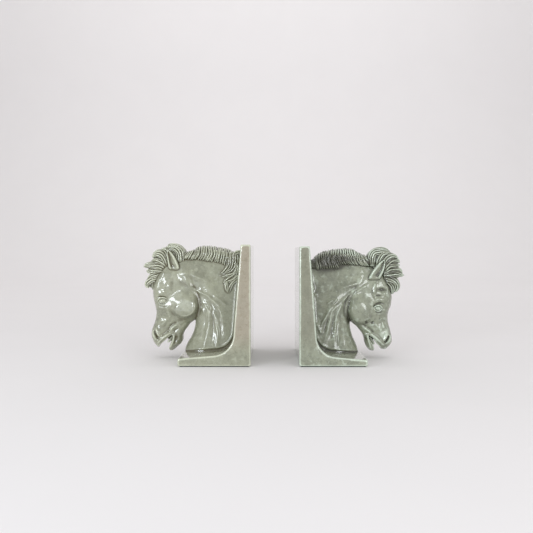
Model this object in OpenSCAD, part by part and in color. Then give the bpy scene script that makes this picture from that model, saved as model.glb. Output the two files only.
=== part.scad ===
// Pair of horse-head book ends. Each one is an L-shaped bracket, a flat foot and an upright joined by
// a cove, with a horse's neck rising out of it and a head that arches over the end of the foot.
// Every solid of a book end is drawn in that book end's own frame: +X runs outwards from the face that
// the books lean on, Y runs from front to back about the middle, and Z runs up from the shelf.

/* [Pair] */
// Thickness of the row of books between the two book ends
book_gap = 56; // [4:1:120]
// Depth of both brackets from front to back
bracket_d = 130; // [110:1:150]
// Thickness of the felt under each foot
felt_t = 1; // [0.5:0.1:2]
// How far the felt stays back from the edge of the foot
felt_margin = 2.5; // [1:0.5:6]

/* [Left bracket] */
// Height of the left upright
left_upright_h = 141; // [130:1:150]
// Length of the left foot
left_foot_l = 84.5; // [80:0.5:95]
// Thickness of the left foot at its outer end
left_foot_end_t = 9.3; // [6:0.1:12]
// Thickness of the left foot where the cove starts
left_foot_t = 13.3; // [10:0.1:16]
// Thickness of the left upright at its top
left_top_t = 11.5; // [8:0.5:16]

/* [Right bracket] */
// Height of the right upright
right_upright_h = 139; // [130:1:150]
// Length of the right foot
right_foot_l = 79; // [75:0.5:90]
// Thickness of the right foot at its outer end
right_foot_end_t = 7.9; // [6:0.1:12]
// Thickness of the right foot where the cove starts
right_foot_t = 11.5; // [9:0.1:16]
// Thickness of the right upright at its top
right_top_t = 12; // [8:0.5:16]

/* [Both brackets] */
// Thickness of each upright just above the cove
upright_t = 20; // [16:0.5:24]
// Radius of the cove between foot and upright
cove_r = 20; // [12:1:26]

/* [Horse details] */
// Radius of each eyeball
eye_r = 4; // [3:0.1:5]
// Width of each ear from its inner to its outer edge, seen from above
ear_t = 7; // [5:0.5:9]

/* [Hidden] */
LEFT = 0;
RIGHT = 1;
RING = 28;     // points round a section
EAR_RING = 16; // points round a section of an ear
$fn = 48;

// Reach of each head beyond the books, which sets where the middle of the pair lies
reach = [138, 136];
pair_shift = (reach[LEFT] - reach[RIGHT]) / 2;

foot_l = [left_foot_l, right_foot_l];
foot_end_t = [left_foot_end_t, right_foot_end_t];
foot_t = [left_foot_t, right_foot_t];
upright_h = [left_upright_h, right_upright_h];
top_t = [left_top_t, right_top_t];

// Level slices of the necks: [height, inner end, throat, half the thickness]
neck_slices = [
    [[8, 15, 84.5, 25.5], [11, 15, 84.5, 25.5], [16, 15, 83, 25], [21, 15, 80.5, 24.5], [31, 15, 75, 24],
     [45, 14, 71.5, 23.5], [58, 14, 73, 22.5], [72, 13, 80, 21.5], [88, 12, 88, 19.5], [104, 10, 93, 16.5],
     [116, 9, 94, 13], [126, 9, 90, 9], [132, 12, 84, 5]],
    [[6, 15, 77, 24.5], [9, 15, 77, 24.5], [13, 15, 75.5, 24], [19, 15, 73.5, 23.5], [30, 15, 69, 23],
     [41, 14, 66.5, 22.5], [54, 14, 68, 21.5], [68, 13, 75, 20.5], [84, 12, 83, 18.5], [98, 11, 88, 15.5],
     [110, 10, 89, 12], [120, 10, 84, 8.5], [127, 14, 78, 5]],
];

// Level slices of the skulls from the upper lip to the poll: [height, inner end, face, half the width]
head_slices = [
    [[13, 116.5, 119.5, 4], [15, 115, 121.5, 7.5], [20, 110.5, 124, 10.5], [25, 106.5, 125.7, 12],
     [29, 103, 126.6, 12.5], [35, 98, 125.6, 12.5], [43, 91, 122.8, 12.5], [50, 81, 121, 14.5],
     [56, 72, 120.3, 17.5], [63, 66, 120.7, 19.5], [71, 64, 122.5, 20.5], [80, 65, 124, 20],
     [89, 69, 124, 18.5], [98, 73, 123, 17], [106, 77, 120, 15], [114, 81, 115, 11.5], [121, 86, 108, 6.5]],
    [[10.5, 109, 112, 4], [12.5, 107, 114, 7], [17, 102.5, 118, 10], [22, 98, 119, 11.5],
     [27, 93.5, 118.5, 12], [33, 90, 117.6, 12], [40, 84, 115.5, 12], [47, 72, 114, 15],
     [54, 64, 113.8, 18], [61, 60.5, 116, 19.2], [68, 59.5, 117.2, 19.5], [76, 61, 118, 18.5],
     [84, 65, 118, 17], [92, 69, 116, 15], [99, 73, 113, 12.5], [106, 77, 108, 9.5], [112, 82, 102, 6]],
];

// Level slices of the lower jaws from the lip to the cheek: [height, throat side, lip side, half the width]
jaw_slices = [
    [[9.5, 101, 105, 3.5], [11, 98.5, 106, 6], [15, 93, 105.5, 8], [20, 88.5, 104, 9], [27, 86, 102, 9.5],
     [33, 84, 102, 10.5], [40, 79.5, 102, 11.5], [48, 75, 100, 12.5], [54, 76, 98, 12.5]],
    [[8.5, 92, 95.5, 3.5], [10, 90, 97, 5.5], [14, 86.5, 96, 7.5], [19, 84, 94, 8.5], [25, 82.5, 92, 9],
     [31, 80.5, 92, 10], [37, 75.5, 92, 11], [44, 70, 91, 12], [50, 70, 90, 12]],
];

// Level slices of the forelocks, the curls over the forehead: [height, crown, tip, half the width]
forelock_slices = [
    [[81.5, 121, 125, 4], [84, 119, 130, 7.5], [88, 116, 135.5, 10.5], [92, 114, 136.5, 12],
     [97, 112, 135, 13], [103, 109, 133, 14], [108, 106, 137, 15], [113, 102, 138, 15.5], [118, 98, 132, 16],
     [124, 94, 128.5, 15.5], [130, 90, 126, 14], [136, 87, 119.5, 11], [140, 91, 111, 7], [142.5, 100, 107, 3]],
    [[76.5, 118, 122, 4], [79, 116, 126, 7], [84, 113, 128.5, 10.5], [90, 110, 129, 12],
     [96, 108, 130, 13], [101, 106, 135, 14], [105, 104, 136, 14.5], [110, 101, 131.5, 15], [116, 98, 132, 15],
     [121, 94, 131.5, 14.5], [126, 91, 128.5, 13.5], [130, 91, 123, 11], [134, 94, 118.5, 7],
     [135.5, 101, 114, 3.5]],
];

// Upright slices of the manes from the book side to the poll: [distance out, lower edge, crest, half width]
mane_slices = [
    [[11, 106, 131, 10], [20, 107, 133, 12.5], [30, 109, 137, 14.5], [42, 113, 139, 15.5],
     [55, 115, 141, 15.5], [65, 116, 140.5, 15], [74, 116, 136.5, 14], [84, 117, 134, 12.5], [92, 120, 133, 9]],
    [[11, 104, 123, 9], [20, 105, 127, 11.5], [31, 106, 132.5, 14], [42, 107, 136, 15], [52, 108, 137, 15],
     [63, 111, 137.2, 14.5], [74, 112, 135.5, 13.5], [82, 112, 130.5, 12], [92, 113, 128.5, 9]],
];

// Level slices of the lock that hangs beside the left upright: [height, upright side, tip, half the width]
tail_slices = [[79, 22, 26, 20], [84, 18, 30, 23.5], [92, 13, 35, 24.5], [101, 12, 38, 23], [109, 12, 36, 19],
               [116, 13, 32, 14]];

// Level slices of the ears: [height, crown side, face side, share of the ear's full width]
ear_slices = [
    [[106, 93, 105.5, 0.9], [111, 92.5, 106, 1], [118, 94.5, 105.5, 0.85], [125, 98.5, 105, 0.6],
     [130, 101.5, 104.8, 0.35], [133, 103.2, 104.6, 0.15]],
    [[95, 90, 104, 0.9], [100, 89, 106, 1], [107, 91.5, 107.5, 0.9], [114, 97, 109, 0.65],
     [119, 102.5, 109.5, 0.4], [122.5, 107, 109, 0.15]],
];
ear_root = [12.5, 11.5];   // half the distance between the ears at their roots
ear_lean = 0.12;           // how far an ear leans outwards per unit of height

// Middle of each eyeball: [distance out, half the distance between the eyes, height]
eye_at = [[109, 16.2, 72], [100.5, 15.8, 63.5]];

GLAZE = [0.65, 0.65, 0.56];
HAIR = [0.56, 0.55, 0.43];
FELT = [0.13, 0.16, 0.13];

// A Catmull-Rom value between b and c at t, with a and d as the neighbours
function between(a, b, c, d, t) =
    0.5 * (2 * b + (c - a) * t + (2 * a - 5 * b + 4 * c - d) * t * t + (3 * b - a - 3 * c + d) * t * t * t);

// The slices with one more between each two, so that the flanks are smooth
function smooth(s) = [
    for (i = [0:2 * (len(s) - 1)])
        let (k = floor(i / 2))
        i % 2 == 0 ? s[k] : between(s[max(k - 1, 0)], s[k], s[k + 1], s[min(k + 2, len(s) - 1)], 0.5)
];

// A point of a rounded section of half sizes rx and ry, at angle a
function rounded(rx, ry, a, power = 2.3) =
    [rx * sign(cos(a)) * pow(abs(cos(a)), 2 / power), ry * sign(sin(a)) * pow(abs(sin(a)), 2 / power)];

// Solid through level slices, each [height, inner end, outer end, half width]
module level_loft(slices, n = RING) {
    points = [
        for (s = smooth(slices)) for (i = [0:n - 1])
            let (q = rounded((s[2] - s[1]) / 2, s[3], 360 * i / n))
            [(s[1] + s[2]) / 2 + q[0], q[1], s[0]]
    ];
    closed_loft(points, n);
}

// Solid through upright slices, each [distance out, lower end, upper end, half width]
module upright_loft(slices, n = RING) {
    points = [
        for (s = smooth(slices)) for (i = [0:n - 1])
            let (q = rounded((s[2] - s[1]) / 2, s[3], 360 * i / n))
            [s[0], -q[1], (s[1] + s[2]) / 2 + q[0]]
    ];
    closed_loft(points, n);
}

// Closed polyhedron through rings of n points each
module closed_loft(points, n) {
    rings = len(points) / n;
    caps = [[for (i = [0:n - 1]) i], [for (i = [n - 1:-1:0]) (rings - 1) * n + i]];
    sides = [
        for (r = [0:rings - 2]) for (i = [0:n - 1])
            let (a = r * n + i, b = r * n + (i + 1) % n)
            each [[a, a + n, b + n], [a, b + n, b]]
    ];
    polyhedron(points = points, faces = concat(caps, sides));
}

// Puts a solid drawn in a book end's own frame in its place in the pair
module placed(side) {
    if (side == LEFT) translate([pair_shift - book_gap / 2, 0, 0]) mirror([1, 0, 0]) children();
    else translate([pair_shift + book_gap / 2, 0, 0]) children();
}

// Outline of the bracket seen from the front: a tapered foot, a tapered upright and the cove
module bracket_outline(side) {
    heel = upright_t + cove_r;
    cove_top = foot_t[side] + cove_r;
    polygon([[0, felt_t], [foot_l[side], felt_t], [foot_l[side], foot_end_t[side]],
             [heel, foot_t[side]], [0, foot_t[side]]]);
    polygon([[0, felt_t], [upright_t, felt_t], [upright_t, cove_top], [top_t[side], upright_h[side]],
             [0, upright_h[side]]]);
    difference() {
        translate([0, felt_t]) square([heel, cove_top - felt_t]);
        translate([heel, cove_top]) circle(cove_r);
    }
}

module bracket(side) {
    color(GLAZE) placed(side)
        translate([0, bracket_d / 2, 0]) rotate([90, 0, 0]) linear_extrude(bracket_d) bracket_outline(side);
}

module felt(side) {
    color(FELT) placed(side)
        translate([felt_margin, felt_margin - bracket_d / 2, 0])
            cube([foot_l[side] - 2 * felt_margin, bracket_d - 2 * felt_margin, felt_t]);
}

module neck(side) {
    color(GLAZE) placed(side) level_loft(neck_slices[side]);
}

module head(side) {
    color(GLAZE) placed(side) level_loft(head_slices[side]);
}

module jaw(side) {
    color(GLAZE) placed(side) level_loft(jaw_slices[side]);
}

module forelock(side) {
    color(HAIR) placed(side) level_loft(forelock_slices[side]);
}

module mane(side) {
    color(HAIR) placed(side) upright_loft(mane_slices[side]);
}

module mane_tail() {
    color(HAIR) placed(LEFT) level_loft(tail_slices);
}

// An ear; toward is -1 for the front one and 1 for the back one
module ear(side, toward) {
    slices = [for (s = ear_slices[side]) [s[0], s[1], s[2], s[3] * ear_t / 2]];
    foot_z = slices[0][0];
    lean = [[1, 0, 0, 0],
            [0, 1, toward * ear_lean, toward * (ear_root[side] - ear_lean * foot_z)],
            [0, 0, 1, 0],
            [0, 0, 0, 1]];
    color(GLAZE) placed(side) multmatrix(lean) level_loft(slices, EAR_RING);
}

// An eyeball, half sunk in the skull; toward is -1 for the front one and 1 for the back one
module eye(side, toward) {
    at = eye_at[side];
    color(GLAZE) placed(side) translate([at[0], toward * at[1], at[2]]) sphere(eye_r);
}

bracket(LEFT);  // left_bracket
felt(LEFT);  // left_felt
neck(LEFT);  // left_neck
head(LEFT);  // left_head
jaw(LEFT);  // left_jaw
forelock(LEFT);  // left_forelock
mane(LEFT);  // left_mane
mane_tail();  // left_mane_tail
ear(LEFT, -1);  // left_ear_front
ear(LEFT, 1);  // left_ear_back
eye(LEFT, -1);  // left_eye_front
eye(LEFT, 1);  // left_eye_back
bracket(RIGHT);  // right_bracket
felt(RIGHT);  // right_felt
neck(RIGHT);  // right_neck
head(RIGHT);  // right_head
jaw(RIGHT);  // right_jaw
forelock(RIGHT);  // right_forelock
mane(RIGHT);  // right_mane
ear(RIGHT, -1);  // right_ear_front
ear(RIGHT, 1);  // right_ear_back
eye(RIGHT, -1);  // right_eye_front
eye(RIGHT, 1);  // right_eye_back
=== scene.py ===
"""Looks of the horse-head book ends.

Each book end is worked like clay in its own frame, in millimetres: u runs outwards from the face that the
books lean on, w from front to back about the middle, z up from the shelf. A piece is a signed distance on
a grid of that space, negative inside the clay, which a surface net then turns into a mesh.
"""

import copy
import math

import bpy
import numpy as np
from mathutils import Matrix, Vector


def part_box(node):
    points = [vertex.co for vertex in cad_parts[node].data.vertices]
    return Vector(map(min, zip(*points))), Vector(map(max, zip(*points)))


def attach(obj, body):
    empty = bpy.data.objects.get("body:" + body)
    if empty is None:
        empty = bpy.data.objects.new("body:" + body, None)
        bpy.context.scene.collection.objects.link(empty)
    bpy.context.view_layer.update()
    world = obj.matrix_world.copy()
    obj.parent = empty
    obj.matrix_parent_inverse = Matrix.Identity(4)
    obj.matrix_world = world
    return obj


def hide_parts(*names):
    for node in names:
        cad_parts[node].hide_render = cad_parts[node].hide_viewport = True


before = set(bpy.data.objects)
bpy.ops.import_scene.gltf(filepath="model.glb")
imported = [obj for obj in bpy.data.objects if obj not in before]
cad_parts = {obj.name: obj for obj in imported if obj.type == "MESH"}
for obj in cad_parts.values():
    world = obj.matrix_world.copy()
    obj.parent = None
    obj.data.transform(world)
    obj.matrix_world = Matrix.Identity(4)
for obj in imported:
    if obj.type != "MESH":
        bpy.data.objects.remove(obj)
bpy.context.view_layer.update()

MM = 0.001
FAR = 6.0  # mm, the value of empty space

# Grid steps in mm, and the corners (u, w, z) of the grids in mm
SKIN_STEP, HAIR_STEP, EYE_STEP, SLAB_STEP = 0.74, 0.5, 0.35, 1.1
HORSE_SPACE = ((8, -29.5, 4), (140, 29.5, 144.5))
HAIR_SPACE = ((8, -24, 74), (140, 24, 144.5))
EYE_REACH = np.array((7, 7, 6))  # mm from the eye's middle to the sides of its grid
MARGIN = 2.2  # mm of empty space round the bracket
HAIR_SEED = 11

UPRIGHT_T = 20  # mm, thickness of the upright where the cove meets it
COVE_R = 20  # mm

# ----------------------------------------
# The two horses. Points are (u, z) in mm, and outlines run once round the shape.
#
# upright_h, top_t: height of the upright and its thickness at the top
# foot_l, foot_t, foot_end: reach of the foot and its thickness beside the cove and at its end
# neck, head, mouth, ear, mane, scalp: outlines, and tongue: the line down its middle
# mouth_corner: where the lips meet
# neck_half, head_half by z and mane_half by u: half of the thickness there
# neck_strokes, lines: strokes over the neck and the head, as FACE_STROKES has them
# features: swellings of the head, as FACE_SWELLINGS has them
# shade, dark: strokes and swellings of painted shade, which pull the glaze towards its dark pooled colour
# where shade falls, and of painted light where the height is below 0
# eye, eye_w, eye_size: middle of the eyeball, how far that is from the middle plane, and its scale
# ear_root: height of the ear's root, and how far it stands from the middle plane
# combs: tiers of the mane, as (guide lines of the strands, number of strands, mm of lift)
# forelock: locks, as (spine, half thickness, half width), and tail: the same and how proud they lie

LEFT = {
    "upright_h": 141, "foot_l": 84.5, "foot_end": 9.3, "foot_t": 13.3, "top_t": 11.5,
    "neck": [(-45, -45), (60, -45), (86, -30), (86.5, -6), (85, 6), (84.2, 12), (82.6, 16), (80.2, 20.8),
             (77, 26), (74.6, 31), (72.3, 38), (71.3, 45), (72, 53), (76, 65), (84, 80), (91, 97),
             (93, 112), (91, 123), (84, 130), (70, 134), (57, 136), (42, 135), (28, 131), (14, 127),
             (-6, 122), (-45, 108)],
    "neck_half": [(9, 25), (14, 24.2), (21, 23.4), (31, 22.2), (45, 20.4), (58, 18.8), (72, 17.2),
                  (88, 15.8), (104, 14.2), (116, 12.2), (126, 9), (136, 5)],
    "head": [(85, 127), (96, 128), (107, 123), (114.5, 113), (119.5, 103), (122.8, 93), (124.2, 84),
             (124.1, 77), (122.6, 70), (120.8, 62), (120.3, 55.5), (121.2, 49), (123, 43), (124.9, 38),
             (126.2, 33.5), (126.6, 29), (125.6, 24.5), (123.8, 20), (121.3, 16.2), (118.5, 13.3),
             (112, 12.5), (105.8, 11), (102.5, 8.6), (98.5, 9.8), (93.5, 14), (89, 18.3), (86.6, 23),
             (86.2, 29), (84.2, 34), (80.8, 38.4), (77.5, 43), (72.5, 46.8), (67.5, 51.5), (64.2, 58),
             (63, 66), (63.6, 75), (66.5, 84), (71, 94), (75, 104), (78, 114), (80, 122)],
    "head_half": [(9, 5), (12, 7.5), (15, 9.3), (19, 10.6), (24, 11.4), (29, 11.8), (36, 11.8), (42, 12),
                  (48, 12.8), (54, 14.2), (60, 15.6), (66, 16.4), (73, 16.6), (81, 16.4), (90, 16.2),
                  (98, 15.8), (106, 14.8), (114, 12.5), (122, 9), (130, 5)],
    "mouth": [(99.4, 29.2), (103.5, 26.8), (108, 22.8), (112, 19.2), (115.6, 15.6), (117.4, 9), (118, 2),
              (104, 2), (104.8, 9.6), (103.2, 14.6), (101.3, 18.6), (99.7, 22.6), (98.4, 26.6)],
    "mouth_corner": (99.4, 28.6),
    "tongue": [(99.8, 26.6), (102, 23.6), (104.4, 20.8)],
    "neck_strokes": [
        ([(84, 112), (70, 103), (53, 88), (40, 66), (33, 42), (31, 20)], 10, 1.0),
        ([(94, 103), (84, 106), (77, 105.5), (70, 102.5), (60, 99), (48, 96)], 4.0, 1.2),
        ([(90, 99), (84, 96), (77, 90.5), (70, 86.5), (63, 82.5), (55, 79), (51, 75), (46, 71),
          (42, 65), (39, 60), (37, 54), (36, 46), (35, 38)], 2.4, 1.2),
        ([(48, 80), (40, 74), (35, 70), (31, 66)], 1.9, 0.8),
        ([(58.5, 70), (55.5, 64.5), (53, 58)], 1.5, 0.7),
        ([(56.5, 72), (53, 67), (50.5, 61)], 1.4, 0.6),
        ([(64, 66), (60.5, 61), (58, 54)], 1.8, 0.7),
        ([(54, 66), (52.7, 58), (52.5, 50), (52.5, 43), (54, 30)], 2.2, 0.9),
        ([(49, 62), (45.5, 54), (43.6, 44), (42, 35), (41.8, 27), (43.2, 14)], 2.3, 1.1),
        ([(54, 44), (55.5, 31), (57.5, 21), (60.5, 9)], 4.0, 1.1),
        ([(49.5, 66), (47, 52), (47, 38), (48.5, 24)], 2.6, -0.6),
        ([(43, 70), (39.5, 56), (38, 42), (37, 28)], 2.6, -0.6),
        ([(57, 62), (57, 48), (59.5, 34), (64, 20)], 3.0, -0.5),
        ([(76, 95), (69, 87), (65, 77), (62, 67), (64, 57), (69, 50)], 3.4, -1.6),
    ],
    "eye": (110, 72.2), "eye_w": 13.6,
    "ear": [(103.7, 135), (104.7, 129.5), (104.3, 124), (103.6, 118), (102.4, 112.5), (99.6, 108.4),
            (94.6, 106.8), (90, 108.4), (88.8, 112.4), (90.6, 117.4), (93, 122.8), (96, 128.2),
            (99.4, 132.4), (102, 134.4)],
    "ear_root": (108.5, 12.6),
    "mane": [(4, 134), (15.7, 132.6), (20, 132), (24, 132.6), (28.1, 135), (33.6, 136.8), (42, 138),
             (50.4, 139.6), (57.7, 140), (64.5, 139.4), (70, 136.8), (75, 134), (80, 132.6), (86, 131),
             (92, 124), (84, 121), (75, 120.4), (65.6, 120.6), (56.4, 118.8), (49.3, 117.6), (41, 116.4),
             (35, 113), (29, 110), (22, 112), (4, 114)],
    "mane_half": [(10, 12), (24, 13.4), (40, 14), (60, 14), (74, 13.6), (84, 12.6), (92, 11)],
    "combs": [
        # over the crest and down the whole flank, from the poll to the upright
        ([[(82, 134), (84, 131), (86, 127.5), (88.5, 123)],
          [(76, 135), (77, 131.5), (80, 127), (83.5, 122)],
          [(69, 138), (69.5, 133), (72.5, 127), (76, 121.5)],
          [(62, 141), (62, 134), (64.5, 127), (68, 120.5)],
          [(55, 141.5), (54.5, 134), (57, 126.5), (61, 119)],
          [(47, 141), (46.5, 133), (49, 126), (52.5, 118)],
          [(40, 139.5), (39, 132), (40.5, 125), (43, 117)],
          [(33.5, 138), (32.5, 131), (33.5, 124), (35, 114)],
          [(27, 136), (26, 130), (26.5, 122), (27, 113)],
          [(20.5, 133), (20, 128), (21, 121), (22, 114)]], 25, 0.2),
        # short tips over the middle of it
        ([[(67, 134), (67.5, 129), (71, 124)], [(60, 135), (60.5, 129), (65, 122.5)],
          [(52, 135), (52, 129), (57, 121)], [(44, 134), (43.5, 128), (47.5, 120)],
          [(36, 133), (36, 127), (38, 120)], [(30, 131), (29.5, 125), (31, 119)]], 14, 0.9),
    ],
    "forelock": [
        ([(88.5, 116), (88.3, 126), (90, 133), (95, 137), (101, 138.6), (106, 138.6)], 4.6, 11.5),
        ([(97, 112), (96.4, 122), (98.4, 129.5), (103.5, 134), (109, 134.8)], 4.4, 9.5),
        ([(103, 117), (104.2, 126), (107.5, 132.6), (113.5, 134.2)], 3.6, 12.5),
        ([(105, 115), (108.4, 124), (113, 129.4), (118.5, 129.6), (123, 125.6)], 4.0, 13),
        ([(106, 113.5), (111.5, 119.6), (118, 121.6), (124.6, 121.2)], 2.8, 13.5),
        ([(107, 110.5), (113.5, 114.6), (122, 115.6), (129.5, 115.6), (134.6, 113.4)], 3.6, 13),
        ([(108, 108), (115, 109.4), (123, 109.4), (131, 107.6)], 3.2, 12.5),
        ([(109.5, 105.5), (117, 104.2), (124, 102.6), (129.6, 99)], 2.8, 12),
        ([(111, 102), (118.5, 99.6), (125.5, 97.4), (130.6, 93.4), (129, 88)], 3.0, 11.5),
        ([(112.5, 98), (118.5, 94.6), (121.6, 90), (122.4, 84.6)], 2.8, 9),
    ],
    # painted shade on the eye, the mane, the jaw and the upper neck
    "painted_shade_and_light": [((110, 72.2), (3.6, 2.2), 0.5), ((62, 130), (36, 8), 0.2), ((28, 120), (10, 7), 0.3),
             ((127, 112), (7, 3), 0.3), ((92, 24), (7, 9), 0.25), ((48, 104), (12, 6), 0.16),
             ((98, 99), (4, 5), 0.2)],
    "shade": [([(94, 99), (82, 93), (70, 89), (58, 85)], 3.4, 0.26),
              ([(60, 80), (50, 66), (48, 50), (47, 34)], 4, 0.12)],
    "features": [((112.5, 45), (2.0, 1.8), -0.7), ((109, 47.6), (2.6, 1.2), 0.5),
                 ((117, 44), (1.6, 3), 0.4), ((100.5, 46.5), (3, 1.2), -0.6)],
    "lines": [],
    "eye_size": 1.14,
    "scalp": [(86, 116), (87, 128), (91, 135), (98, 137), (106, 135.4), (112, 131.6), (119, 127),
              (121, 121), (125, 117), (125.4, 111), (123, 104), (121.4, 97), (118, 92), (113, 94),
              (106, 104), (98, 110)],
    "tail": [
        ([(20, 131), (21.5, 116), (26, 109.5), (33, 106)], 3.6, 2.2, 0.4),
        ([(26, 131), (27, 117), (32, 109), (38, 104), (41, 101)], 3.4, 2.0, -0.6),
        ([(18.5, 118), (19.5, 110), (23.5, 105.4), (29.5, 103.4), (37, 102.4)], 1.7, 1.8, 1.0),
        ([(17.5, 109), (22.5, 103.4), (28.4, 99.8), (33.4, 96.4), (36, 93.6)], 2.1, 1.8, 0.4),
        ([(17.5, 103), (23, 98.6), (28, 96.4), (33.4, 93.6)], 1.6, 1.8, 0.9),
        ([(17, 100), (22.4, 96), (25.8, 91.4), (28, 86), (28.6, 80.6)], 2.2, 1.8, 0.2),
        ([(30.5, 96), (31.2, 91), (30.6, 86.4), (29.2, 82.4)], 1.7, 1.6, 0.6),
        ([(13, 133), (19, 131.6), (21.6, 127), (20, 122), (16, 120.8), (15, 124.6)], 1.8, 3.0, 2.4),
    ],
}
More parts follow.
